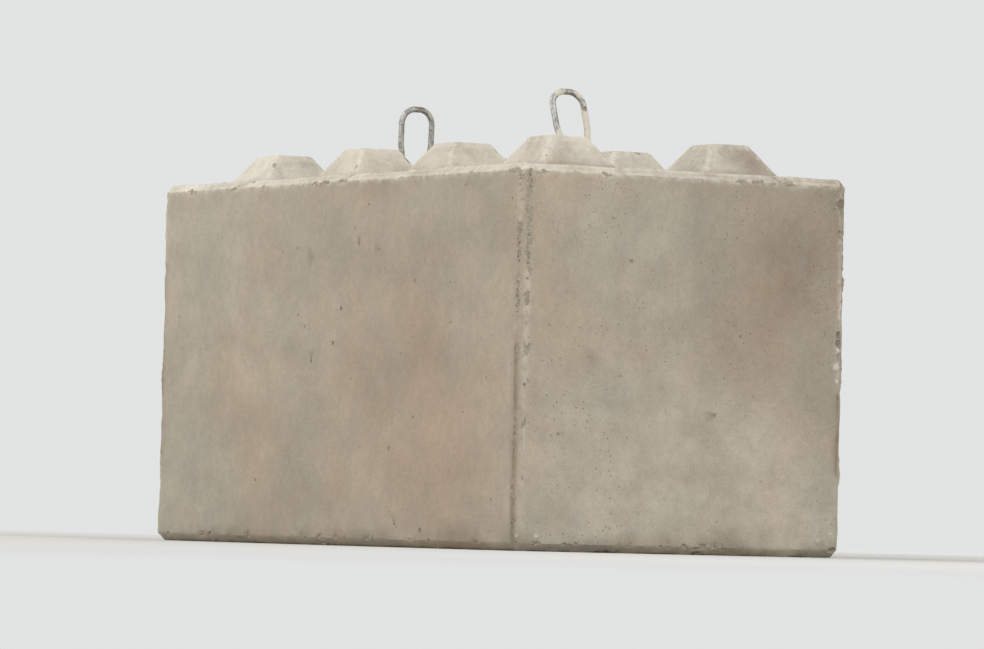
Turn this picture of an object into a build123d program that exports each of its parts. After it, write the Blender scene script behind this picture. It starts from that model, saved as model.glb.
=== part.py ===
"""Interlocking concrete block with eight tapered studs, matching recesses and two cast-in lifting loops.

Millimetres, +Z up. The origin is the middle of the underside; X runs along the block.
"""

import os
from math import atan2, cos, degrees, radians, sin

from build123d import *

# The cast block
block_length = 1600
block_width = 800
block_height = 800
edge_chamfer = 16

# Studs on the top, in two rows of four
stud_pitch = 400
studs_along = 4
studs_across = 2
stud_base = 190
stud_top = 90
stud_height = 70
stud_edge_radius = 7

# Recesses in the underside that drop over the studs of the block below
recess_side_gap = 5
recess_depth_gap = 10

# Troughs in the top, into which the loops are bent once the block is laid
trough_length = 250
trough_width = 110
trough_depth = 30
trough_corner_radius = 35
trough_draft = 20
trough_behind_loop = 40

# Lifting loops, bent from round bar. The right one has been pulled over towards the middle
loop_spacing = 720
left_loop_lean = 2
right_loop_lean = 20
left_loop_reach = 182
right_loop_reach = 206
loop_width = 90
loop_head_length = 85
loop_neck = 54
bar_diameter = 13
head_bend_radius = 33
leg_bend_radius = 60
anchor_depth = 400

stud_taper = degrees(atan2((stud_base - stud_top) / 2, stud_height))
recess_mouth = stud_base + 2 * recess_side_gap
recess_depth = stud_height + recess_depth_gap
top_face = Plane.XY.offset(block_height)


def lifting_loop(side, reach, lean_degrees):
    """One bar, up a straight leg, over the loop's head and down the other leg. Side is +1 or -1 along X."""
    lean = radians(lean_degrees)
    loop_plane = Plane(
        origin=(side * loop_spacing / 2, 0, block_height),
        x_dir=(0, 1, 0),
        z_dir=(cos(lean), 0, side * sin(lean)),
    )
    half_neck = (loop_neck - bar_diameter) / 2
    half_head = (loop_width - bar_diameter) / 2
    right_side = [
        (half_head, reach - bar_diameter / 2),
        (half_head, reach - loop_head_length),
        (half_neck, -trough_depth / 2),
        (half_neck, -anchor_depth),
    ]
    left_side = [(-across, along) for across, along in reversed(right_side)]
    bend_radii = [leg_bend_radius, leg_bend_radius, head_bend_radius]
    with BuildPart() as loop:
        with BuildLine(loop_plane) as bar:
            FilletPolyline(*left_side, *right_side, radius=bend_radii + bend_radii[::-1])
        with BuildSketch(Plane(origin=bar.line @ 0, z_dir=bar.line % 0)):
            Circle(bar_diameter / 2)
        sweep()
    return loop.part


loops = {
    "lifting_loop_left": lifting_loop(-1, left_loop_reach, left_loop_lean),
    "lifting_loop_right": lifting_loop(1, right_loop_reach, right_loop_lean),
}

with BuildPart() as stud:
    with BuildSketch():
        Rectangle(stud_base, stud_base)
    extrude(amount=stud_height, taper=stud_taper)
    fillet(stud.edges().group_by(Axis.Z)[1:], radius=stud_edge_radius)

with BuildPart() as concrete_block:
    Box(block_length, block_width, block_height, align=(Align.CENTER, Align.CENTER, Align.MIN))
    chamfer(concrete_block.edges(), length=edge_chamfer)
    with Locations(top_face):
        with GridLocations(stud_pitch, stud_pitch, studs_along, studs_across):
            add(stud.part)

    with BuildSketch():
        with GridLocations(stud_pitch, stud_pitch, studs_along, studs_across):
            Rectangle(recess_mouth, recess_mouth)
    extrude(amount=recess_depth, taper=stud_taper, mode=Mode.SUBTRACT)

    # Each trough reaches from behind its loop towards the middle of the block
    trough_offset = loop_spacing / 2 + trough_behind_loop - trough_length / 2
    with BuildSketch(top_face):
        with Locations((-trough_offset, 0), (trough_offset, 0)):
            RectangleRounded(trough_length, trough_width, trough_corner_radius)
    extrude(amount=-trough_depth, taper=trough_draft, mode=Mode.SUBTRACT)

    # The concrete is cast round the loops' legs
    for loop in loops.values():
        add(loop, mode=Mode.SUBTRACT)

os.makedirs("parts", exist_ok=True)
concrete_block.part.label = "concrete_block"
export_step(concrete_block.part, "parts/concrete_block.step")
for name, loop in loops.items():
    loop.label = name
    export_step(loop, f"parts/{name}.step")
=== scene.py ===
# Interlocking concrete block with tapered studs and two lifting loops, dressed for its studio picture
import random
from math import ceil, cos, radians, sin, sqrt, tan

import bmesh
import bpy
from mathutils import Matrix, Vector, kdtree, noise


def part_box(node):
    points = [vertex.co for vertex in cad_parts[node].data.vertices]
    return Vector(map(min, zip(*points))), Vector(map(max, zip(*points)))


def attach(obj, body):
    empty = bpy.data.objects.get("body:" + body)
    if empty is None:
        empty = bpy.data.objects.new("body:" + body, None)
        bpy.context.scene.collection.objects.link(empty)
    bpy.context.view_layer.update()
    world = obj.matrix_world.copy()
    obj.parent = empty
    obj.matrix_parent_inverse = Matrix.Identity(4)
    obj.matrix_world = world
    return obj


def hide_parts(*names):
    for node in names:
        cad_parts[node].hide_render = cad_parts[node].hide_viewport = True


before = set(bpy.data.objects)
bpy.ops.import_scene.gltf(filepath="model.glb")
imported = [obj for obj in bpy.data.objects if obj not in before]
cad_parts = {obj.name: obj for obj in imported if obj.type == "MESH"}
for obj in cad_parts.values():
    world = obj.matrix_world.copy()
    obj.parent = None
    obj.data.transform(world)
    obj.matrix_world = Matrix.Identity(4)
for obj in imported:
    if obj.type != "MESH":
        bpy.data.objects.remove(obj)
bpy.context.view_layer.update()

random.seed(7)
mm = 0.001


# Mesh helpers

def only(kind, geometry):
    return [item for item in geometry if isinstance(item, kind)]


def treeOf(points):
    tree = kdtree.KDTree(len(points))
    for index, point in enumerate(points):
        tree.insert(point, index)
    tree.balance()
    return tree


def nearestIn(tree, p):  # the first where some are equally near, so that every run picks the same
    found = tree.find_n(p, 4)
    limit = found[0][2] + 0.01 * mm
    return min([item for item in found if item[2] < limit], key=lambda item: item[1])


def rise(value, low, high):  # smooth step from 0 at low to 1 at high
    t = max(0.0, min(1.0, (value - low) / (high - low)))
    return t * t * (3 - 2 * t)


def fade(distance, reach):  # 1 at the middle, 0 from reach outwards
    return 1 - rise(distance, 0, reach)


def lumps(p, perMetre):  # uneven, from -1 to 1
    return noise.noise(p * perMetre)


def refine(bm, cell, isNear):  # splits what is clearly longer than a cell, on the faces that isNear picks
    longest = 1.35 * cell
    near = {face for face in bm.faces if isNear(face.calc_center_median())}
    edges = [edge for edge in bm.edges if edge.calc_length() > longest
             and any(face in near for face in edge.link_faces)]
    bmesh.ops.subdivide_edges(bm, edges=edges, cuts=1, use_grid_fill=True)


def placePiece(bm, name, material, node, sharpAngle):
    mesh = bpy.data.meshes.new(name)
    bm.to_mesh(mesh)
    bm.free()
    mesh.shade_smooth()
    mesh.set_sharp_from_angle(angle=radians(sharpAngle))
    mesh.materials.append(material)
    piece = bpy.data.objects.new(name, mesh)
    bpy.context.scene.collection.objects.link(piece)
    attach(piece, "root")
    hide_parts(node)
    mesh.calc_loop_triangles()
    print(name, "triangles", len(mesh.loop_triangles))


# Material helpers

def linear(value):  # of a screen value from 0 to 255
    share = value / 255
    return share / 12.92 if share < 0.04045 else ((share + 0.055) / 1.055) ** 2.4


def srgb(red, green, blue):
    return linear(red), linear(green), linear(blue), 1


def addNode(tree, kind, values=None, **settings):
    made = tree.nodes.new(kind)
    for name, value in settings.items():
        setattr(made, name, value)
    for name, value in (values or {}).items():
        if isinstance(value, bpy.types.NodeSocket):
            tree.links.new(value, made.inputs[name])
        else:
            made.inputs[name].default_value = value
    return made


def newMaterial(name):
    material = bpy.data.materials.new(name)
    material.use_nodes = True
    tree = material.node_tree
    place = addNode(tree, "ShaderNodeTexCoord").outputs["Object"]
    return material, tree, tree.nodes["Principled BSDF"], place


def attribute(tree, name, output="Fac"):
    made = addNode(tree, "ShaderNodeAttribute", attribute_name=name, attribute_type="GEOMETRY")
    return made.outputs[output]


def maths(tree, operation, first, second=0.0, third=0.0):
    return addNode(tree, "ShaderNodeMath", {0: first, 1: second, 2: third}, operation=operation).outputs[0]


def times(tree, first, second):
    return maths(tree, "MULTIPLY", first, second)


def band(tree, value, low, high, bottom=0.0, top=1.0):  # smooth step from bottom at low to top at high
    values = {"Value": value, "From Min": low, "From Max": high, "To Min": bottom, "To Max": top}
    return addNode(tree, "ShaderNodeMapRange", values, interpolation_type="SMOOTHSTEP").outputs["Result"]


def mottle(tree, place, scale, detail=3.0, roughness=0.5, shift=0.0):  # scale is in waves a metre
    shifted = (shift, shift * 1.7, shift * 0.6)
    moved = addNode(tree, "ShaderNodeMapping", {"Vector": place, "Location": shifted}).outputs[0]
    values = {"Vector": moved, "Scale": scale, "Detail": detail, "Roughness": roughness}
    return addNode(tree, "ShaderNodeTexNoise", values).outputs[0]


def tint(tree, share, colour, other):
    return addNode(tree, "ShaderNodeMix", {0: share, 6: colour, 7: other}, data_type="RGBA").outputs[2]


def shade(tree, colour, factor):  # lightens or darkens by a factor
    return addNode(tree, "ShaderNodeVectorMath", {0: colour, 3: factor}, operation="SCALE").outputs[0]


def addUp(tree, layers, relief=0.0):  # each layer is a texture and its height
    for texture, height in layers:
        relief = maths(tree, "MULTIPLY_ADD", texture, height, relief)
    return relief


def setRelief(tree, shader, relief):  # in metres
    bump = addNode(tree, "ShaderNodeBump", {"Height": relief, "Distance": 1.0, "Strength": 1.0})
    tree.links.new(bump.outputs[0], shader.inputs["Normal"])


# The concrete block

block = {
    "chamfer": 16 * mm,
    "studPitch": 400 * mm,
    "studsAlong": 4,
    "studsAcross": 2,
    "studBase": 190 * mm,
    "studTop": 90 * mm,
    "studHeight": 70 * mm,
    "studRows": 4,  # of faces up the walls, and down the walls of a recess
    "studEdge": 7 * mm,  # how far the edges of its end are rounded
    "studFoot": 4 * mm,
    "recessMouth": 200 * mm,
    "recessDepth": 80 * mm,
    "troughLength": 250 * mm,
    "troughWidth": 110 * mm,
    "troughDepth": 30 * mm,
    "troughRows": 5,
    "troughCorner": 35 * mm,
    "troughDraft": 11 * mm,
    "troughBehindLoop": 40 * mm,
    "cell": 25 * mm,  # squares of the first grid
    "halfCell": 12.5 * mm,  # and what they are split into, where the wear and the marks need it
    "quarterCell": 6.3 * mm,
    "eighthCell": 3.2 * mm,
    "chipCell": 1.6 * mm,
    "holeCell": 0.8 * mm,
    "roundFrom": 25,  # degrees from face to face: from here an edge is rounded
    "wearFrom": 10,  # from here it wears
    "sharpFrom": 42,  # and from here it is shaded sharp
    "sampleStep": 6 * mm,  # along the sharp edges
    "rim": 30 * mm,  # the border of the faces, without air holes
    "faceWave": 1.1 * mm,  # how far the mould plates bulge
    "topRough": 1.0 * mm,  # the top was struck off by hand
    "edgeWear": 1.2 * mm,  # rubbed off every arris
    "wearReach": 7 * mm,
    "edgeWander": 2.2 * mm,
    "wanderReach": 13 * mm,
    "chalkReach": 16 * mm,  # how wide the arrises are rubbed pale
    "creaseReach": 18 * mm,  # how wide painted shade, with some dirt, lies round the studs' feet
    "crumbleDepth": 5.5 * mm,
    "crumbleReach": 11 * mm,  # how far from the arris it can break away
    "crumbleSpread": 20 * mm,  # how far round the stretches below
    "crumbles": [  # start, end and how badly: the stretches where the arrises have broken away
        ((0.8, -0.384, 0.79), (0.8, -0.384, 0.68), 0.5),
        ((0.8, -0.384, 0.68), (0.8, -0.384, 0.5), 0.68),
        ((0.784, -0.4, 0.67), (0.784, -0.4, 0.5), 0.64),
        ((0.784, -0.4, 0.78), (0.784, -0.4, 0.67), 0.25),
        ((0.784, -0.4, 0.42), (0.784, -0.4, 0.05), 0.35),
        ((0.8, 0.384, 0.8), (0.8, 0.384, 0.64), 0.36),
        ((0.8, 0.384, 0.5), (0.8, 0.384, 0.2), 0.3),
        ((0.8, -0.384, 0.784), (0.8, -0.2, 0.784), 0.44),
        ((0.784, -0.4, 0.784), (0.5, -0.4, 0.784), 0.34),
        ((0.8, 0.08, 0.784), (0.8, 0.384, 0.784), 0.36),
        ((0.2, -0.4, 0.784), (-0.14, -0.4, 0.784), 0.3),
        ((-0.5, -0.4, 0.784), (-0.66, -0.4, 0.784), 0.2),
        ((0.8, -0.384, 0.016), (0.8, 0.384, 0.016), 0.12),
        ((0.784, -0.4, 0.016), (-0.784, -0.4, 0.016), 0.22),
        ((-0.8, 0.384, 0.1), (-0.8, 0.384, 0.42), 0.4),
        ((-0.2, 0.4, 0.784), (-0.6, 0.4, 0.784), 0.32),
        ((-0.8, -0.384, 0.75), (-0.8, -0.384, 0.55), 0.36),
        ((-0.784, 0.4, 0.016), (0.1, 0.4, 0.016), 0.3),
    ],
    "seams": [  # start, end and how dark: where the joints of the mould leaked and dirt sits; the first two paint shade along a crease
        # painted shade: these two draw a shaded crease along the near corner's lower left border as a darker
        # seam
        ((0.784, -0.4, 0.42), (0.784, -0.4, 0.03), 1),
        ((0.784, -0.4, 0.52), (0.784, -0.4, 0.42), 0.6),
        ((0.8, -0.384, 0.78), (0.8, -0.384, 0.6), 0.7),
        ((0.784, -0.4, 0.66), (0.784, -0.4, 0.5), 0.5),
        ((0.8, 0.384, 0.34), (0.8, 0.384, 0.18), 1),
        ((-0.8, 0.384, 0.7), (-0.8, 0.384, 0.45), 0.8),
        ((-0.784, 0.4, 0.4), (-0.784, 0.4, 0.1), 0.7),
        ((-0.784, -0.4, 0.62), (-0.784, -0.4, 0.2), 0.8),
        ((0.784, 0.4, 0.75), (0.784, 0.4, 0.4), 0.7),
    ],
    "knocks": [  # place, reach and depth against reach: the deepest chips
        ((0.8, 0.384, 0.742), 17 * mm, 0.8),
        ((0.8, 0.384, 0.736), 12 * mm, 0.8),
        ((0.8, 0.384, 0.684), 13 * mm, 0.75),
        ((0.8, 0.384, 0.462), 14 * mm, 0.75),
        ((0.8, 0.384, 0.784), 15 * mm, 0.5),
        ((0.8, -0.384, 0.525), 11 * mm, 0.6),
        ((0.03, -0.4, 0.784), 14 * mm, 0.5),
        ((-0.04, -0.4, 0.784), 10 * mm, 0.5),
        ((-0.8, 0.384, 0.3), 22 * mm, 0.5),
        ((-0.4, 0.4, 0.784), 19 * mm, 0.5),
        ((-0.8, -0.384, 0.016), 24 * mm, 0.5),
        ((0.8, 0.384, 0.016), 17 * mm, 0.5),
    ],
    "crumbs": [  # place and reach of the spilt mortar that set on the block
        ((0.8, 0.38, 0.437), 15 * mm),
        ((0.8, 0.374, 0.403), 14 * mm),
        ((0.8, 0.378, 0.372), 8 * mm),
        ((0.8, 0.34, 0.035), 8 * mm),
        ((0.8, 0.365, 0.028), 6 * mm),
        ((0.8, 0.372, 0.05), 7 * mm),
        ((0.8, -0.35, 0.03), 6 * mm),
        ((0.79, -0.39, 0.03), 8 * mm),
        ((0.1, 0.05, 0.8), 7 * mm),
        ((-0.47, -0.03, 0.8), 9 * mm),
        ((0.45, 0.36, 0.8), 6 * mm),
    ],
    "stainsAndShades": [  # centre, radius, and what red, green and blue lose there
        ((0.8, 0.27, 0.62), 0.40, (0.27, 0.36, 0.40)),
        ((0.8, 0.40, 0.78), 0.16, (0.10, 0.12, 0.14)),
        ((0.8, -0.1, 0.08), 0.46, (-0.12, -0.18, -0.22)),
        ((0.8, 0.28, 0.08), 0.26, (-0.15, -0.17, -0.19)),
        ((0.79, 0.0, 0.81), 0.06, (-0.09, -0.10, -0.10)),
        ((0.79, -0.2, 0.81), 0.06, (-0.09, -0.10, -0.10)),
        ((0.8, 0.05, 0.50), 0.12, (0.11, 0.11, 0.10)),
        ((0.8, 0.09, 0.40), 0.08, (0.10, 0.10, 0.09)),
        ((0.8, 0.21, 0.40), 0.10, (0.0, 0.05, 0.05)),
        ((0.8, -0.165, 0.60), 0.05, (0.12, 0.14, 0.15)),
        ((0.8, -0.165, 0.30), 0.05, (0.12, 0.12, 0.11)),
        ((0.8, -0.11, 0.41), 0.035, (0.10, 0.12, 0.13)),
        # painted shadow: a brown shade beside the end face's right edge
        ((0.8, 0.38, 0.27), 0.17, (0.12, 0.18, 0.21)),
        ((0.8, 0.31, 0.04), 0.07, (0.08, 0.08, 0.09)),
        ((0.35, -0.4, 0.5), 0.8, (0.02, 0.10, 0.13)),
        ((-0.5, -0.4, 0.45), 0.6, (0.0, 0.04, 0.06)),
        ((0.7, -0.4, 0.7), 0.2, (0.07, 0.09, 0.11)),
        # these two, low on the long face, are partly a brown stain and partly painted shade with painted
        # orange bounce light
        ((-0.2, -0.4, 0.12), 0.45, (0.07, 0.12, 0.14)),
        ((0.5, -0.4, 0.1), 0.38, (0.06, 0.11, 0.13)),
        # painted shade on the right side of the far right stud
        ((0.68, 0.235, 0.84), 0.1, (0.32, 0.36, 0.37)),
        ((0.66, -0.2, 0.84), 0.1, (-0.04, -0.05, -0.06)),
        ((-0.1, -0.4, 0.74), 0.45, (0.03, 0.06, 0.08)),
        # painted shade on the stud at (0.2, 0.2)
        ((0.2, 0.24, 0.84), 0.13, (0.12, 0.16, 0.18)),
        ((-0.36, 0, 0.78), 0.22, (0.14, 0.17, 0.19)),
        ((0.36, 0, 0.78), 0.22, (0.12, 0.15, 0.17)),
        ((-0.7, 0.4, 0.5), 0.3, (0.12, 0.13, 0.14)),
        ((0.3, 0.4, 0.62), 0.24, (0.12, 0.15, 0.17)),
        ((-0.25, 0.4, 0.3), 0.3, (-0.05, -0.05, -0.05)),
        ((-0.8, 0.1, 0.3), 0.27, (0.13, 0.15, 0.17)),
    ],
    "seamReach": 14 * mm,
    "finHeight": 3.6 * mm,
    "finWidth": 4 * mm,
    "finsBelow": 20 * mm,  # the fins end this far under the top
    "moundHeight": 9 * mm,  # of the mortar round the loops' legs
    "moundReach": 24 * mm,
    "airHoles": 85,
    "airHoleSizes": (1.5, 1.7, 2, 2.3, 2.8, 4.2),  # radii in mm
    "chips": (34, 4, 13),  # how many, and their smallest and largest reach in mm
    "studChips": (26, 3, 8),
    "chipBite": 0.4,  # depth against reach
    "foldAngle": 100,  # degrees from which folded skin is evened out
    "foldRounds": 14,
}

loop = {
    "spacing": 720 * mm,
    "lean": {"left": 2, "right": 20},  # degrees towards the middle of the block
    "reach": {"left": 182 * mm, "right": 206 * mm},
    "width": 90 * mm,
    "headLength": 85 * mm,
    "neck": 54 * mm,
    "bar": 13 * mm,
    "headBend": 33 * mm,
    "legBend": 60 * mm,
    "buried": 400 * mm,
    "sides": 20,
    "step": 6 * mm,
    "sharpFrom": 60,
    "dents": 0.25 * mm,
    "splash": 1.4 * mm,  # thickness of the cement left on the legs
    "splashHeight": {"left": 30 * mm, "right": 240 * mm},
}
side = {"left": -1, "right": 1}

boxLow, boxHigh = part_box("concrete_block")
length = boxHigh.x - boxLow.x
width = boxHigh.y - boxLow.y
topLevel = boxHigh.z - block["studHeight"]


def loopPlane(name):  # where its middle crosses the level of the top, and which way its legs run
    lean = radians(loop["lean"][name])
    foot = Vector((side[name] * loop["spacing"] / 2, 0, topLevel))
    along = Vector((-side[name] * sin(lean), 0, cos(lean)))
    return foot, along


def castBox():
    bm = bmesh.new()
    bmesh.ops.create_cube(bm, size=1)
    bmesh.ops.scale(bm, vec=(length, width, topLevel), verts=bm.verts)
    bmesh.ops.translate(bm, vec=(0, 0, topLevel / 2), verts=bm.verts)
    bmesh.ops.bevel(bm, geom=bm.edges[:], offset=block["chamfer"], offset_type="OFFSET", segments=1,
                    profile=0.5, affect="EDGES", material=-1)
    cell = block["cell"]
    for direction, start, extent in (((1, 0, 0), -length / 2, length), ((0, 1, 0), -width / 2, width),
                                     ((0, 0, 1), 0, topLevel)):
        for step in range(1, round(extent / cell)):
            cut = Vector(direction) * (start + step * cell)
            bmesh.ops.bisect_plane(bm, geom=bm.verts[:] + bm.edges[:] + bm.faces[:], plane_co=cut,
                                   plane_no=direction, dist=1e-6)
    return bm


def facesOn(bm, level, isInside):
    found = []
    for face in bm.faces:
        middle = face.calc_center_median()
        if abs(middle.z - level) < 0.1 * mm and isInside(middle):
            found.append(face)
    return found


def studPlaces():
    for i in range(block["studsAlong"]):
        for j in range(block["studsAcross"]):
            yield Vector(((i - (block["studsAlong"] - 1) / 2) * block["studPitch"],
                          (j - (block["studsAcross"] - 1) / 2) * block["studPitch"], 0))


def drawOut(bm, faces, height, shrink, rows):  # extrudes faces with tapered walls, cut into rows
    made = only(bmesh.types.BMVert, bmesh.ops.extrude_face_region(bm, geom=faces)["geom"])
    bmesh.ops.delete(bm, geom=faces, context="FACES")
    bmesh.ops.translate(bm, vec=(0, 0, height), verts=made)
    shrink(made)
    ends = set(made)
    walls = [edge for edge in bm.edges if (edge.verts[0] in ends) != (edge.verts[1] in ends)]
    bmesh.ops.subdivide_edges(bm, edges=walls, cuts=rows - 1, use_grid_fill=True)


def squareForm(bm, centre, level, mouth, end, height):
    gridWide = block["recessMouth"]  # the width of the squares that it grows from
    home = Matrix.Translation(-centre)
    faces = facesOn(bm, level, lambda p: max(abs(p.x - centre.x), abs(p.y - centre.y)) < gridWide / 2)
    ring = list({vert for face in faces for vert in face.verts})
    bmesh.ops.scale(bm, vec=(mouth / gridWide, mouth / gridWide, 1), space=home, verts=ring)

    def shrink(made):
        bmesh.ops.scale(bm, vec=(end / mouth, end / mouth, 1), space=home, verts=made)

    drawOut(bm, faces, height, shrink, block["studRows"])


def roundEdges(bm, isChosen, offset, segments):
    edges = [edge for edge in bm.edges if len(edge.link_faces) == 2
             and edge.calc_face_angle() > radians(block["roundFrom"]) and isChosen(edge)]
    bmesh.ops.bevel(bm, geom=edges, offset=offset, offset_type="OFFSET", segments=segments, profile=0.5,
                    affect="EDGES", clamp_overlap=True, material=-1)


def toRoundedRectangle(point, centre, halfLength, halfWidth, corner):  # nearest place on its outline
    x = point.x - centre.x
    y = point.y - centre.y
    inX = max(-halfLength + corner, min(halfLength - corner, x))
    inY = max(-halfWidth + corner, min(halfWidth - corner, y))
    out = Vector((x - inX, y - inY, 0))
    if out.length < 1e-6:
        out = Vector((0, y, 0)) if halfWidth - abs(y) < halfLength - abs(x) else Vector((x, 0, 0))
    out.normalize()
    return Vector((centre.x + inX + out.x * corner, centre.y + inY + out.y * corner, point.z))


def trough(bm, centre):
    halfLength = block["troughLength"] / 2
    halfWidth = block["troughWidth"] / 2
    corner = block["troughCorner"]
    for cell, margin in ((block["halfCell"], 40 * mm), (block["quarterCell"], 18 * mm)):
        refine(bm, cell, lambda p: p.z > topLevel - mm and abs(p.x - centre.x) < halfLength + margin
               and abs(p.y - centre.y) < halfWidth + margin)

    def isInside(p):
        x = max(0, abs(p.x - centre.x) - halfLength + corner)
        y = max(0, abs(p.y - centre.y) - halfWidth + corner)
        return x * x + y * y < corner * corner

    faces = facesOn(bm, topLevel, isInside)
    inside = set(faces)
    for face in faces:
        for edge in face.edges:
            if any(other not in inside for other in edge.link_faces):
                for vert in edge.verts:
                    vert.co = toRoundedRectangle(vert.co, centre, halfLength, halfWidth, corner)
    draft = block["troughDraft"]

    def shrink(made):
        scale = ((halfLength - draft) / halfLength, (halfWidth - draft) / halfWidth, 1)
        bmesh.ops.scale(bm, vec=scale, space=Matrix.Translation(-centre), verts=made)

    drawOut(bm, faces, -block["troughDepth"], shrink, block["troughRows"])


def formBlock():
    bm = castBox()
    narrowing = block["recessDepth"] * (block["studBase"] - block["studTop"]) / block["studHeight"]
    recessEnd = block["recessMouth"] - narrowing
    for place in studPlaces():
        squareForm(bm, place, topLevel, block["studBase"], block["studTop"], block["studHeight"])
        squareForm(bm, place, 0, block["recessMouth"], recessEnd, block["recessDepth"])
    print("block formed", len(bm.faces))
    roundEdges(bm, lambda e: max(v.co.z for v in e.verts) > topLevel + mm, block["studEdge"], 3)
    roundEdges(bm, lambda e: min(v.co.z for v in e.verts) > topLevel - mm and e.calc_face_angle_signed() < 0,
               block["studFoot"], 2)
    offset = loop["spacing"] / 2 + block["troughBehindLoop"] - block["troughLength"] / 2
    for sign in side.values():
        trough(bm, Vector((sign * offset, 0, 0)))
    bmesh.ops.recalc_face_normals(bm, faces=bm.faces)
    return bm


# Wear and casting marks on the block

def inOrder(place):  # a key that sorts places the same way in every run
    return [round(value, 6) for value in place]


def sharpLines(bm):  # samples of every sharp edge: place, way out, way along, and whether it sticks out
    lines = []
    for edge in bm.edges:
        angle = edge.calc_face_angle_signed()
        if abs(angle) < radians(block["wearFrom"]):
            continue
        start, end = sorted((vert.co for vert in edge.verts), key=inOrder)
        out = (edge.link_faces[0].normal + edge.link_faces[1].normal).normalized()
        count = max(1, round((end - start).length / block["sampleStep"]))
        for step in range(count):
            lines.append((start.lerp(end, (step + 0.5) / count), out, (end - start).normalized(), angle > 0))
    return sorted(lines, key=lambda line: inOrder(line[0]))


def isOuter(place):  # on the outline of the block, and not on a stud, a recess or a trough
    rim = block["rim"]
    return place.z < topLevel + mm and (abs(place.x) > length / 2 - rim or abs(place.y) > width / 2 - rim)


def mostAlong(runs, p, reach):  # the strongest of the listed runs here
    most = 0.0
    for start, end, level in runs:
        start = Vector(start)
        run = Vector(end) - start
        nearest = start + run * max(0, min(1, (p - start).dot(run) / run.length_squared))
        most = max(most, level * fade((p - nearest).length, reach))
    return most


def crumbleAt(p):  # how much of an arris has broken away here, from 0 to 1
    worst = mostAlong(block["crumbles"], p, block["crumbleSpread"])
    patch = 0.45 * lumps(p, 7) - 0.1  # whole stretches stay sound
    rough = lumps(p, 30) + 0.5 * lumps(p, 90) + 0.3 * lumps(p, 240)
    return rise(patch + rough + worst, 0.46, 0.7)


def scoopAt(place, out, reach, depth, isScar):  # a bite out of the surface, as a ball pressed in from outside
    radius = (reach * reach + depth * depth) / (2 * depth)
    centre = place + out * (radius - depth)
    return {"place": place, "reach": reach, "centre": centre, "radius": radius, "isScar": isScar}


def knockAt(place, out, along, reach, bite):  # a chip is several bites side by side
    scoops = []
    for _ in range(random.randint(3, 5)):
        near = place + along * random.uniform(-0.9, 0.9) * reach
        tilted = (out + Vector([random.uniform(-0.35, 0.35) for _ in range(3)])).normalized()
        size = reach * random.uniform(0.35, 0.9)
        scoops.append(scoopAt(near, tilted, size, size * bite * random.uniform(0.75, 1.25), True))
    return scoops


def chipsAlong(lines):
    onStuds = [line for line in lines if line[3] and line[0].z > topLevel + 5 * mm]
    arrises = [line for line in lines if line[3] and isOuter(line[0])]
    scoops = []
    for source, (count, small, large) in ((arrises, block["chips"]), (onStuds, block["studChips"])):
        for _ in range(count):
            place, out, along, _ = random.choice(source)
            reach = (small + (large - small) * random.random() ** 2) * mm  # most chips are small
            scoops += knockAt(place, out, along, reach, block["chipBite"])
    for near, reach, bite in block["knocks"]:
        place, out, along, _ = min(arrises, key=lambda line: (line[0] - Vector(near)).length)
        scoops += knockAt(place, out, along, reach, bite)
    return scoops


def airHoles():
    scoops = []
    faces = ((1, 0, 0), (-1, 0, 0), (0, 1, 0), (0, -1, 0))
    half = Vector((length / 2, width / 2, topLevel / 2))
    rim = block["rim"]
    for _ in range(block["airHoles"]):
        out = Vector(random.choice(faces + faces[2:]))  # the long faces have twice as many
        place = Vector([random.uniform(-h + rim, h - rim) for h in half])
        place.z = topLevel / 2 + abs(place.z) * random.choice((1, 1, -1))  # air rises: more near the top
        for axis in range(2):
            if out[axis]:
                place[axis] = out[axis] * half[axis]
        reach = random.choice(block["airHoleSizes"]) * mm * random.uniform(0.8, 1.2)
        scoops.append(scoopAt(place, out, reach, reach * random.uniform(0.6, 0.95), False))
    return scoops


def legFeet():  # where the loops' legs come out of the trough floors
    for name in side:
        foot, along = loopPlane(name)
        for across in (-1, 1):
            yield (foot - along * block["troughDepth"]
                   + Vector((0, across * (loop["neck"] - loop["bar"]) / 2, 0)))


def finLines():  # mortar leaked along both borders of the upright chamfers: place, way out and a seed
    for x in (-1, 1):
        for y in (-1, 1):
            out = Vector((x, y, 0)).normalized()
            yield x * length / 2, y * (width / 2 - block["chamfer"]), out, x + 2.3 * y
            yield x * (length / 2 - block["chamfer"]), y * width / 2, out, x + 2.3 * y + 7


def finHeight(z, seed):
    ragged = noise.noise(Vector((z * 130, seed, 0))) * 0.6 + 0.55
    patch = noise.noise(Vector((z * 9, seed * 1.7, 3))) - 0.02
    return block["finHeight"] * max(0, min(1, patch * 2.6)) * max(0, ragged)


def keptAt(p):  # what the stain marks and the painted shade among them leave of red, green and blue
    kept = Vector((1, 1, 1))
    for centre, radius, loss in block["stainsAndShades"]:
        kept -= Vector(loss) * fade((p - Vector(centre)).length, radius)
    return kept


def standOut(vert, away, bare, isBodyEdge):  # mould waves, the rough top and rubbed edges
    p = vert.co
    onStud = rise(p.z, topLevel, topLevel + 8 * mm)
    push = lumps(p, 2.3) * block["faceWave"] + lumps(p, 11) * 0.35 * mm
    if p.z > topLevel - 45 * mm and vert.normal.z > 0.3:
        rough = lumps(p, 27) * 0.7 + lumps(p, 75) * 0.4
        push += rough * block["topRough"] * (1 - 0.65 * onStud)
    rub = 0.35 + 0.9 * abs(lumps(p, 95))
    push -= fade(away, block["wearReach"]) * rub * block["edgeWear"] * bare * (1 - 0.5 * onStud)
    if isBodyEdge:
        wander = lumps(p, 34) + lumps(p, 13)
        push -= fade(away, block["wanderReach"]) * wander * block["edgeWander"]
    return push


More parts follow.
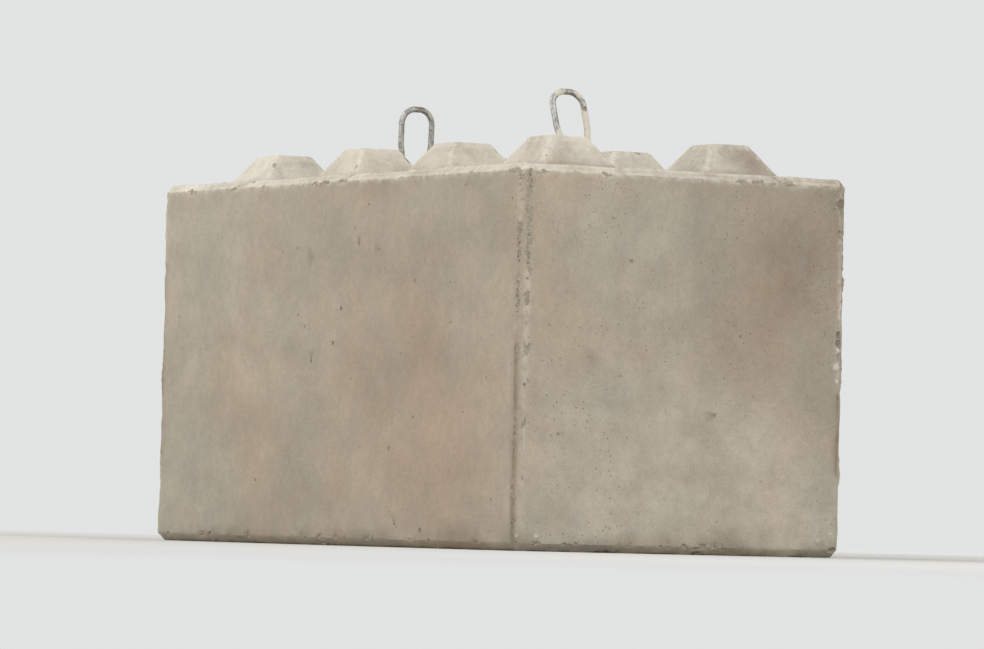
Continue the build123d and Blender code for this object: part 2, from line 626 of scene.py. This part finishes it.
def setMortar(vert, move, fin, scar, mortar):  # adds leaked fins, spilt crumbs and the mounds round the legs
    p = vert.co
    if p.z < topLevel - block["finsBelow"]:
        for x, y, out, seed in mortar["fins"]:
            away = sqrt((p.x - x) ** 2 + (p.y - y) ** 2)
            if away < block["finWidth"]:
                height = finHeight(p.z, seed) * (1 - away / block["finWidth"])
                vert[fin] = max(vert[fin], min(0.7, height / (3 * mm)))
                move += out * height
    for place, reach in mortar["crumbs"]:
        away = (p - place).length * (1 + 0.5 * lumps(p, 160))
        if away < reach:
            move += vert.normal * 0.4 * reach * fade(away, reach)
            vert[fin] = max(vert[fin], fade(away, reach))
            vert[scar] *= 1 - fade(away, reach)
    for foot in mortar["feet"]:
        mound = fade((p - foot).length, block["moundReach"])
        if mound > 0:
            move.z += block["moundHeight"] * mound * (1 + 0.5 * lumps(p, 110))
            vert[fin] = max(vert[fin], mound * 0.7)


def biteOut(bm, scoops, scar, deep):  # moves the skin inside each scoop's ball out to the ball
    bm.verts.ensure_lookup_table()
    vertTree = treeOf([vert.co for vert in bm.verts])
    for scoop in scoops:
        for _, index, _ in vertTree.find_range(scoop["centre"], scoop["radius"] * 1.15):
            vert = bm.verts[index]
            spoke = vert.co - scoop["centre"]
            goal = scoop["radius"]
            if scoop["isScar"]:  # chips are ragged, air holes are smooth
                goal += lumps(vert.co, 120) * 0.16 * scoop["reach"] + lumps(vert.co, 260) * 0.6 * mm
            if not 1e-6 < spoke.length < goal:
                continue
            bitten = goal - spoke.length
            vert.co = scoop["centre"] + spoke * (goal / spoke.length)
            if scoop["isScar"]:
                vert[scar] = max(vert[scar], min(1, bitten / (0.8 * mm)))
                vert[deep] = max(vert[deep], min(1, bitten / (7 * mm)))
            else:
                vert[deep] = max(vert[deep], min(1, bitten / scoop["reach"]))


markNames = ("worn", "scar", "deep", "fin", "crease", "seam")  # layers that the finish reads, besides kept


def weather(bm, lines, scoops):
    arrises = [line for line in lines if line[3]]
    arrisTree = treeOf([line[0] for line in arrises])
    creaseTree = treeOf([line[0] for line in lines if not line[3]])
    mortar = {
        "fins": list(finLines()),
        "crumbs": [(Vector(place), reach) for place, reach in block["crumbs"]],
        "feet": list(legFeet()),
    }
    worn, scar, deep, fin, crease, seam = (bm.verts.layers.float.new(name) for name in markNames)
    kept = bm.verts.layers.float_vector.new("kept")
    bm.normal_update()
    moves = []
    for vert in bm.verts:
        p = vert.co
        place, index, away = nearestIn(arrisTree, p)
        toCrease = creaseTree.find(p)[2]
        bare = rise(toCrease, 4 * mm, block["creaseReach"])  # nothing rubs the foot of a stud
        vert[kept] = keptAt(p)
        vert[seam] = mostAlong(block["seams"], p, block["seamReach"])
        # the crease mask: the finish paints shade, with some dirt, into these creases
        vert[crease] = fade(toCrease, block["creaseReach"])
        vert[worn] = fade(away, block["chalkReach"]) * bare
        move = Vector()
        ragged = away + lumps(p, 60) * 5 * mm
        if isOuter(p) and ragged < block["crumbleReach"]:
            broken = crumbleAt(p) * fade(ragged, block["crumbleReach"])
            rough = 0.75 + 0.5 * lumps(p, 170)
            move -= arrises[index][1] * broken * rough * block["crumbleDepth"]
            vert[scar] = min(1, broken * 2)
            vert[deep] = broken * 0.3
        move += vert.normal * standOut(vert, away, bare, place.z < topLevel + 0.5 * mm)
        setMortar(vert, move, fin, scar, mortar)
        moves.append((vert, move))
    for vert, move in moves:
        vert.co += move
    biteOut(bm, scoops, scar, deep)


def easeFolds(bm):  # evens out the few places where bites have folded the skin over itself
    limit = radians(block["foldAngle"])
    for _ in range(block["foldRounds"]):
        folded = {vert for edge in bm.edges if edge.calc_face_angle(0) > limit for vert in edge.verts}
        bmesh.ops.smooth_vert(bm, verts=list(folded), factor=0.5, use_axis_x=True, use_axis_y=True,
                              use_axis_z=True)


def splitUp(bm, lines, scoops):  # small faces where the wear and the marks need them
    marks = [(scoop["place"], scoop["reach"]) for scoop in scoops]
    marks += [(Vector(place), reach) for place, reach in block["crumbs"]]
    markTree = treeOf([place for place, _ in marks])
    edgeTree = treeOf([line[0] for line in lines])
    feet = list(legFeet())
    fins = list(finLines())

    def nearEdge(margin):
        return lambda p: (p.z > block["rim"] or isOuter(p)) and edgeTree.find(p)[2] < margin

    def nearMark(margin, largest=1):  # round the marks whose own reach is under the largest
        def test(p):
            return any(distance < marks[index][1] + margin and marks[index][1] < largest
                       for _, index, distance in markTree.find_range(p, 32 * mm))
        return test

    def nearFin(p):
        reach = block["finWidth"] + mm
        return p.z < topLevel - block["finsBelow"] and any(
            (p.x - x) ** 2 + (p.y - y) ** 2 < reach ** 2 and finHeight(p.z, seed) > 0.4 * mm
            for x, y, _, seed in fins)

    def isCrumbled(p):
        return isOuter(p) and edgeTree.find(p)[2] < block["crumbleReach"] + 2 * mm and crumbleAt(p) > 0.02

    half, quarter, eighth = block["halfCell"], block["quarterCell"], block["eighthCell"]
    refine(bm, half, lambda p: p.z > topLevel - mm or edgeTree.find(p)[2] < 42 * mm)
    refine(bm, half, nearMark(8 * mm))
    refine(bm, quarter, nearEdge(11 * mm))
    refine(bm, eighth, lambda p: p.z > topLevel + 6 * mm and edgeTree.find(p)[2] < 5 * mm)
    refine(bm, quarter, nearMark(5 * mm))
    refine(bm, eighth, nearMark(1.5 * mm))
    refine(bm, eighth, isCrumbled)
    refine(bm, eighth, nearFin)
    refine(bm, block["chipCell"], nearMark(0.8 * mm, 7 * mm))
    refine(bm, block["holeCell"], nearMark(0.4 * mm, 2.9 * mm))
    refine(bm, eighth, lambda p: any((p - foot).length < block["moundReach"] for foot in feet))
    print("refined", len(bm.faces))


def castBlock():
    bm = formBlock()
    lines = sharpLines(bm)
    scoops = chipsAlong(lines) + airHoles()
    splitUp(bm, lines, scoops)
    weather(bm, lines, scoops)
    bmesh.ops.triangulate(bm, faces=bm.faces, quad_method="BEAUTY", ngon_method="BEAUTY")
    easeFolds(bm)
    for vert in bm.verts:
        vert.co.z = max(0, vert.co.z)  # it stands on its lowest points
    return bm


# The concrete

finish = {
    "greyCement": srgb(169, 163, 147),
    "warmCement": srgb(174, 163, 145),
    "pinkCement": srgb(176, 159, 142),
    "brownCement": srgb(156, 142, 124),
    "laitanceAndTopLight": srgb(212, 206, 191),  # the pale skin on the studs and the top, partly painted light from above
    "paleEdge": srgb(193, 185, 168),
    # the top's arrises rubbed pale, with a painted highlight on them
    "topEdgeWearAndHighlight": srgb(223, 216, 200),
    "brokenPaste": srgb(182, 172, 154),
    "stone": srgb(158, 148, 131),
    "holeShade": srgb(74, 64, 50),
    # dirt on the ground line; also the colour of the painted shade in the creases
    "dirtAndCreaseShade": srgb(112, 94, 74),
    "seamDirtAndShade": srgb(118, 101, 79),
    "textures": {  # waves in a metre, detail, roughness and shift
        "cloudy": (5.5, 5, 0.6, 3),
        "patchy": (17, 5, 0.6, 5),
        "close": (62, 4, 0.6, 8),
        "speckle": (170, 3, 0.6, 4),
        "grain": (420, 2, 0.6, 1),
    },
    "shades": {"patchy": (0.935, 1.06), "close": (0.95, 1.05), "speckle": (0.955, 1.045)},
    "sandGrains": 700,  # in a metre
    "heights": {  # of the relief that each makes
        "grain": 0.4 * mm,
        "speckle": 0.7 * mm,
        "close": 1.4 * mm,
        "sand": 0.12 * mm,
        "holes": -1.6 * mm,
    },
    "topHeight": 7 * mm,
    "cragHeight": 3 * mm,
    "stoneHeight": 0.7 * mm,
    "rubbleSunk": 2.2 * mm,
}


def cementColour(tree, place, cloudy):
    colour = tint(tree, band(tree, mottle(tree, place, 2.1, 4, 0.55), 0.4, 0.62),
                  finish["greyCement"], finish["warmCement"])
    colour = tint(tree, band(tree, cloudy, 0.48, 0.7, 0, 0.4), colour, finish["pinkCement"])
    brown = band(tree, mottle(tree, place, 1.7, 3, 0.5, 9), 0.52, 0.72, 0, 0.5)
    colour = tint(tree, brown, colour, finish["brownCement"])
    pale = band(tree, mottle(tree, place, 3.4, 4, 0.65, 12), 0.55, 0.75, 0, 0.4)
    return tint(tree, pale, colour, finish["paleEdge"])


def stainedColour(tree, place, colour, skin, height):
    kept = attribute(tree, "kept", "Vector")
    stained = addNode(tree, "ShaderNodeVectorMath", {0: colour, 1: kept}, operation="MULTIPLY").outputs[0]
    colour = tint(tree, band(tree, skin["patchy"], 0.25, 0.6, 0.6, 1.0), colour, stained)
    drawnOut = addNode(tree, "ShaderNodeMapping", {"Vector": place, "Scale": (0.5, 1, 1)}).outputs[0]
    blotches = mottle(tree, drawnOut, 8.5, 1.5, 0.4, 23)  # soft, and longer along the mould
    colour = shade(tree, colour, band(tree, blotches, 0.3, 0.7, 0.945, 1.05))
    for name, (dark, light) in finish["shades"].items():
        colour = shade(tree, colour, band(tree, skin[name], 0.25, 0.75, dark, light))
    upright = addNode(tree, "ShaderNodeMapping", {"Vector": place, "Scale": (26, 26, 1.3)}).outputs[0]
    streaks = addNode(tree, "ShaderNodeTexNoise", {"Vector": upright, "Scale": 1, "Detail": 4}).outputs[0]
    streaks = times(tree, band(tree, streaks, 0.5, 0.75), band(tree, height, 0.35, 0.8))
    return shade(tree, colour, maths(tree, "MULTIPLY_ADD", streaks, -0.05, 1))


def markedColour(tree, colour, skin, height, isTop):  # pale worn edges with a painted highlight along the top's edges, mortar, and dirt with painted shade in the seams and creases
    patchy, close = skin["patchy"], skin["close"]
    # pale rubbed arrises, and on the top and the studs also a painted highlight along the edges
    edgeChalkAndHighlight = times(tree, band(tree, skin["worn"], 0.1, 0.9), band(tree, close, 0.35, 0.65, 0.1, 0.7))
    edgeChalkAndHighlight = times(tree, edgeChalkAndHighlight, band(tree, height, 0.1, 0.5, 0.3, 1))
    edgeChalkAndHighlight = times(tree, edgeChalkAndHighlight, maths(tree, "MULTIPLY_ADD", isTop, -0.3, 1))
    colour = tint(tree, edgeChalkAndHighlight, colour, tint(tree, isTop, finish["paleEdge"], finish["topEdgeWearAndHighlight"]))
    colour = tint(tree, band(tree, skin["fin"], 0.2, 0.8, 0, 0.8), colour, finish["laitanceAndTopLight"])
    # seams darkened by dirt, and along the near corner's lower left border by painted shade
    leakAndShade = times(tree, skin["seam"], band(tree, patchy, 0.3, 0.55, 0.35, 0.7))
    colour = tint(tree, leakAndShade, colour, finish["seamDirtAndShade"])
    dirtLine = maths(tree, "MULTIPLY_ADD", maths(tree, "SUBTRACT", skin["cloudy"], 0.5), 0.16, height)
    dirt = times(tree, band(tree, dirtLine, 0.0, 0.05, 0.45, 0), band(tree, close, 0.3, 0.6, 0.6, 1))
    # painted shade, with some dirt, in the creases, such as round the studs' feet
    creaseShadeAndSilt = times(tree, skin["crease"], band(tree, patchy, 0.3, 0.65, 0.08, 0.34))
    return tint(tree, maths(tree, "MAXIMUM", dirt, creaseShadeAndSilt), colour, finish["dirtAndCreaseShade"])


def rubble(tree, place):  # the colour and the relief of broken concrete: stones in paste
    swirl = addNode(tree, "ShaderNodeTexNoise", {"Vector": place, "Scale": 160}).outputs[1]
    warped = addNode(tree, "ShaderNodeVectorMath", {0: place, 1: shade(tree, swirl, 0.006)}).outputs[0]
    stones = addNode(tree, "ShaderNodeTexVoronoi", {"Vector": warped, "Scale": 120})
    pick = addNode(tree, "ShaderNodeSeparateColor", {0: stones.outputs["Color"]}).outputs[1]
    stone = times(tree, band(tree, pick, 0.5, 0.55), band(tree, stones.outputs["Distance"], 0.45, 0.35))
    crags = mottle(tree, place, 190, 4, 0.7, 2)
    colour = tint(tree, stone, finish["brokenPaste"], finish["stone"])
    colour = shade(tree, colour, band(tree, pick, 0, 1, 0.93, 1.08))
    # darker where the crags sink: painted shade in the pits
    colour = shade(tree, colour, band(tree, crags, 0.3, 0.7, 0.8, 1.12))
    raised = times(tree, stone, finish["stoneHeight"])
    return colour, maths(tree, "MULTIPLY_ADD", crags, finish["cragHeight"], raised)


def pores(tree, place, density, smallest, largest, share):  # little round holes, in a share of the cells
    cells = addNode(tree, "ShaderNodeTexVoronoi", {"Vector": place, "Scale": density})
    chance = addNode(tree, "ShaderNodeSeparateColor", {0: cells.outputs["Color"]}).outputs[0]
    present = maths(tree, "GREATER_THAN", chance, 1 - share)
    radius = band(tree, chance, 1 - share, 1, 0, largest * density)
    radius = maths(tree, "MAXIMUM", radius, smallest * density)
    depth = maths(tree, "SUBTRACT", 1, maths(tree, "DIVIDE", cells.outputs["Distance"], radius))
    return times(tree, band(tree, depth, 0, 0.5), present)


def allPores(tree, place):
    small = pores(tree, place, 95, 0.6 * mm, 1.7 * mm, 0.32)
    wide = pores(tree, place, 33, 1 * mm, 3.4 * mm, 0.2)
    crowded = band(tree, mottle(tree, place, 4.5, 3, 0.5, 21), 0.42, 0.6, 0.25, 1)
    return times(tree, maths(tree, "MAXIMUM", small, wide), crowded)


def sandGrains(tree, place):
    cells = addNode(tree, "ShaderNodeTexVoronoi", {"Vector": place, "Scale": finish["sandGrains"]})
    return addNode(tree, "ShaderNodeSeparateColor", {0: cells.outputs["Color"]}).outputs[0]


def concreteFinish():
    material, tree, shader, place = newMaterial("castConcrete")
    skin = {name: attribute(tree, name) for name in markNames}
    skin.update({name: mottle(tree, place, *values) for name, values in finish["textures"].items()})
    skin["holes"] = allPores(tree, place)
    skin["sand"] = sandGrains(tree, place)
    height = addNode(tree, "ShaderNodeSeparateXYZ", {0: place}).outputs["Z"]
    facing = addNode(tree, "ShaderNodeNewGeometry").outputs["Normal"]
    up = addNode(tree, "ShaderNodeSeparateXYZ", {0: facing}).outputs["Z"]
    isTop = times(tree, band(tree, height, topLevel - 35 * mm, topLevel - 10 * mm), band(tree, up, 0.1, 0.6))
    isBed = times(tree, band(tree, height, topLevel + 15 * mm, topLevel + 2 * mm), band(tree, up, 0.85, 0.97))

    colour = cementColour(tree, place, skin["cloudy"])
    # the top and the studs painted paler: partly a pale cement skin, partly painted light from above
    paleTopAndLight = band(tree, mottle(tree, place, 6.5, 5, 0.68, 15), 0.34, 0.62, 0.35, 1)
    paleTopAndLight = times(tree, paleTopAndLight, maths(tree, "MULTIPLY_ADD", isBed, -0.35, 1))
    colour = tint(tree, times(tree, isTop, paleTopAndLight), colour, finish["laitanceAndTopLight"])
    colour = stainedColour(tree, place, colour, skin, height)
    colour = markedColour(tree, colour, skin, height, isTop)
    frayed = maths(tree, "SUBTRACT", mottle(tree, place, 130, 3, 0.7, 6), 0.5)
    ragged = maths(tree, "MULTIPLY_ADD", frayed, 1.1, skin["scar"])
    rubbleColour, rocky = rubble(tree, place)
    colour = tint(tree, times(tree, band(tree, ragged, 0.36, 0.5), 0.8), colour, rubbleColour)
    colour = tint(tree, times(tree, skin["holes"], 0.6), colour, finish["holeShade"])
    colour = tint(tree, times(tree, skin["deep"], 0.5), colour, finish["holeShade"])
    colour = shade(tree, colour, maths(tree, "MULTIPLY_ADD", skin["sand"], 0.1, 0.95))
    colour = shade(tree, colour, band(tree, skin["grain"], 0.25, 0.75, 0.95, 1.05))
    tree.links.new(colour, shader.inputs["Base Color"])
    tree.links.new(maths(tree, "MULTIPLY_ADD", skin["patchy"], 0.16, 0.8), shader.inputs["Roughness"])
    shader.inputs["Specular IOR Level"].default_value = 0.35

    relief = addUp(tree, [(skin[name], amount) for name, amount in finish["heights"].items()])
    floated = times(tree, isBed, mottle(tree, place, 52, 6, 0.72, 17))  # the top was left rough
    sunk = maths(tree, "SUBTRACT", rocky, finish["rubbleSunk"])
    relief = addUp(tree, [(floated, finish["topHeight"]), (band(tree, ragged, 0.2, 0.75), sunk)], relief)
    setRelief(tree, shader, relief)
    return material


placePiece(castBlock(), "castBlock", concreteFinish(), "concrete_block", block["sharpFrom"])


# The lifting loops

def bendBar(corners, radii):  # a round bar along straight runs, bent round at each corner
    radius = loop["bar"] / 2
    heading = (corners[1] - corners[0]).normalized()
    turn = Vector((0, 0, 1)).rotation_difference(heading).to_matrix().to_4x4()
    bm = bmesh.new()
    bmesh.ops.create_circle(bm, cap_ends=True, segments=loop["sides"], radius=radius,
                            matrix=Matrix.Translation(corners[0]) @ turn)
    ring = bm.edges[:]
    at = corners[0].copy()

    def straightTo(goal):
        nonlocal ring, at
        run = goal - at
        isBuried = max(at.y, goal.y) < -block["troughDepth"]
        steps = 1 if isBuried else max(1, ceil(run.length / loop["step"]))
        for _ in range(steps):
            made = bmesh.ops.extrude_edge_only(bm, edges=ring)["geom"]
            ring = [edge for edge in only(bmesh.types.BMEdge, made)
                    if all(vert in made for vert in edge.verts)]
            bmesh.ops.translate(bm, vec=run / steps, verts=list({v for edge in ring for v in edge.verts}))
        at = goal.copy()

    for i, bend in enumerate(radii, start=1):
        before = (corners[i] - corners[i - 1]).normalized()
        after = (corners[i + 1] - corners[i]).normalized()
        angle = before.angle(after)
        tangent = bend * tan(angle / 2)
        straightTo(corners[i] - before * tangent)
        inward = (after - before * after.dot(before)).normalized()
        made = bmesh.ops.spin(bm, geom=ring, cent=at + inward * bend, axis=before.cross(after).normalized(),
                              angle=angle, steps=max(2, ceil(angle * (bend + radius) / loop["step"])))
        ring = only(bmesh.types.BMEdge, made["geom_last"])
        at = corners[i] + after * tangent
    straightTo(corners[-1])
    bmesh.ops.holes_fill(bm, edges=ring)
    bmesh.ops.recalc_face_normals(bm, faces=bm.faces)
    return bm


def liftingLoop(name):
    halfNeck = (loop["neck"] - loop["bar"]) / 2
    halfHead = (loop["width"] - loop["bar"]) / 2
    reach = loop["reach"][name]
    leg = [Vector((halfHead, reach - loop["bar"] / 2, 0)), Vector((halfHead, reach - loop["headLength"], 0)),
           Vector((halfNeck, -block["troughDepth"] / 2, 0)), Vector((halfNeck, -loop["buried"], 0))]
    corners = [Vector((-corner.x, corner.y, 0)) for corner in reversed(leg)] + leg
    radii = [loop["legBend"], loop["legBend"], loop["headBend"]]
    bm = bendBar(corners, radii + radii[::-1])
    splash = bm.verts.layers.float.new("splash")
    bm.normal_update()
    for vert in bm.verts:
        p = vert.co + Vector((0, 0, side[name] * 3))  # so that the two loops aren't alike
        if vert.co.y > -block["troughDepth"]:
            vert.co += vert.normal * lumps(p, 70) * loop["dents"]
        climb = (vert.co.y + block["troughDepth"]) / loop["splashHeight"][name]
        coat = 0.5 * lumps(p, 38) + 0.25 * lumps(p, 110) + 0.7 * (1 - climb)
        vert[splash] = min(1, max(0, coat * 2.2))
        vert.co += vert.normal * vert[splash] * loop["splash"] * (0.6 + 0.5 * lumps(p, 190))
    foot, along = loopPlane(name)
    across = Vector((0, 1, 0))
    place = Matrix((across, along, across.cross(along))).transposed().to_4x4()
    bmesh.ops.transform(bm, matrix=Matrix.Translation(foot) @ place, verts=bm.verts)
    return bm


steel = {
    "zinc": srgb(182, 181, 176),
    "dullZinc": srgb(138, 137, 131),
    "rust": srgb(118, 78, 50),
    "cement": srgb(212, 205, 190),
    "fineHeight": 0.1 * mm,
    "blotchHeight": 0.5 * mm,
    "cementHeight": 0.4 * mm,
}


def steelFinish():
    material, tree, shader, place = newMaterial("dullZincSteel")
    spangle = mottle(tree, place, 120, 4, 0.6)
    blotch = mottle(tree, place, 38, 4, 0.6, 4)
    fine = mottle(tree, place, 600, 3, 0.6, 2)
    rust = band(tree, blotch, 0.58, 0.7, 0, 0.8)
    dust = band(tree, mottle(tree, place, 80, 5, 0.65, 7), 0.55, 0.66, 0, 0.7)
    coat = maths(tree, "MAXIMUM", dust, band(tree, attribute(tree, "splash"), 0.15, 0.5))
    colour = tint(tree, band(tree, spangle, 0.35, 0.65), steel["zinc"], steel["dullZinc"])
    colour = tint(tree, rust, colour, steel["rust"])
    colour = tint(tree, coat, colour, steel["cement"])
    colour = shade(tree, colour, band(tree, fine, 0.3, 0.7, 0.9, 1.08))
    tree.links.new(colour, shader.inputs["Base Color"])
    bare = times(tree, maths(tree, "SUBTRACT", 1, coat), maths(tree, "SUBTRACT", 1, rust))
    tree.links.new(times(tree, bare, 0.85), shader.inputs["Metallic"])
    rough = maths(tree, "MULTIPLY_ADD", bare, -0.38, 0.88)
    tree.links.new(maths(tree, "MULTIPLY_ADD", spangle, 0.1, rough), shader.inputs["Roughness"])
    layers = [(fine, steel["fineHeight"]), (blotch, steel["blotchHeight"]), (coat, steel["cementHeight"])]
    setRelief(tree, shader, addUp(tree, layers))
    return material


zincSteel = steelFinish()
for name in side:
    placePiece(liftingLoop(name), "loop" + name.title(), zincSteel, "lifting_loop_" + name,
               loop["sharpFrom"])


# Floor, light and camera

studio = {
    "backdrop": srgb(226, 227, 227),
    "floor": srgb(214, 213, 209),
    "floorRadius": 60,
    "floorSides": 128,
    "floorDrop": 0.3 * mm,  # so that the block's underside doesn't lie in the floor
    "floorFade": (2.0, 7.0),  # where the floor starts and ends to melt into the backdrop
    "sky": 0.5,
}
lamps = [  # name, place, width, watts
    ("overhead", (-2.6, -3.2, 4.6), 1.8, 100),
    ("frontLeft", (0.5, -7.0, 2.2), 2.5, 125),
    ("right", (6.0, 0.5, 4.2), 2.5, 200),
    ("back", (-5.0, 5.0, 2.5), 4.0, 140),
]
view = {
    "place": (12.65, -7.38, 0.05),
    "aim": (0, 0, 0.49),
    "roll": 1.4,
    "pixelsPerRadian": 6700,
    "imageWidth": 984,
    "sensor": 36,
    "farthest": 200,
}


def floorFinish():
    material, tree, shader, place = newMaterial("paleFloor")
    shader.inputs["Base Color"].default_value = studio["floor"]
    shader.inputs["Roughness"].default_value = 1
    shader.inputs["Specular IOR Level"].default_value = 0
    away = addNode(tree, "ShaderNodeVectorMath", {0: place}, operation="LENGTH").outputs["Value"]
    glow = addNode(tree, "ShaderNodeEmission", {"Color": studio["backdrop"], "Strength": 1.0})
    melt = addNode(tree, "ShaderNodeMixShader", {0: band(tree, away, *studio["floorFade"]),
                                                 1: shader.outputs[0], 2: glow.outputs[0]})
    tree.links.new(melt.outputs[0], tree.nodes["Material Output"].inputs["Surface"])
    return material


def makeFloor():
    bm = bmesh.new()
    bmesh.ops.create_circle(bm, cap_ends=True, segments=studio["floorSides"], radius=studio["floorRadius"],
                            matrix=Matrix.Translation((0, 0, -studio["floorDrop"])))
    mesh = bpy.data.meshes.new("floor")
    bm.to_mesh(mesh)
    bm.free()
    mesh.materials.append(floorFinish())
    floor = bpy.data.objects.new("floor", mesh)
    bpy.context.scene.collection.objects.link(floor)


def makeWorld():
    world = bpy.data.worlds.new("studio")
    bpy.context.scene.world = world
    world.use_nodes = True
    tree = world.node_tree
    tree.nodes.clear()
    rays = addNode(tree, "ShaderNodeLightPath")
    seen = maths(tree, "MAXIMUM", rays.outputs["Is Camera Ray"], rays.outputs["Is Glossy Ray"])
    seen = maths(tree, "MAXIMUM", seen, rays.outputs["Is Transmission Ray"])
    sky = addNode(tree, "ShaderNodeBackground", {"Color": (1, 1, 1, 1), "Strength": studio["sky"]})
    plain = addNode(tree, "ShaderNodeBackground", {"Color": studio["backdrop"], "Strength": 1.0})
    mixed = addNode(tree, "ShaderNodeMixShader", {0: seen, 1: sky.outputs[0], 2: plain.outputs[0]})
    output = addNode(tree, "ShaderNodeOutputWorld")
    tree.links.new(mixed.outputs[0], output.inputs["Surface"])


def makeLamps():
    middle = Vector((0, 0, topLevel / 2))
    for name, place, size, watts in lamps:
        light = bpy.data.lights.new(name, "AREA")
        light.shape = "SQUARE"
        light.size = size
        light.energy = watts
        lamp = bpy.data.objects.new(name, light)
        lamp.location = place
        lamp.rotation_euler = (middle - lamp.location).to_track_quat("-Z", "Y").to_euler()
        lamp.visible_camera = False
        bpy.context.scene.collection.objects.link(lamp)


def makeCamera():
    lens = bpy.data.cameras.new("camera")
    lens.sensor_width = view["sensor"]
    lens.lens = view["pixelsPerRadian"] / view["imageWidth"] * view["sensor"]
    lens.clip_end = view["farthest"]
    camera = bpy.data.objects.new("camera", lens)
    camera.location = view["place"]
    looking = (Vector(view["aim"]) - camera.location).to_track_quat("-Z", "Y")
    camera.rotation_euler = (looking.to_matrix() @ Matrix.Rotation(radians(view["roll"]), 3, "Z")).to_euler()
    bpy.context.scene.collection.objects.link(camera)
    bpy.context.scene.camera = camera


makeFloor()
makeWorld()
makeLamps()
makeCamera()
bpy.context.scene.view_settings.view_transform = "Standard"
print("studio ready")
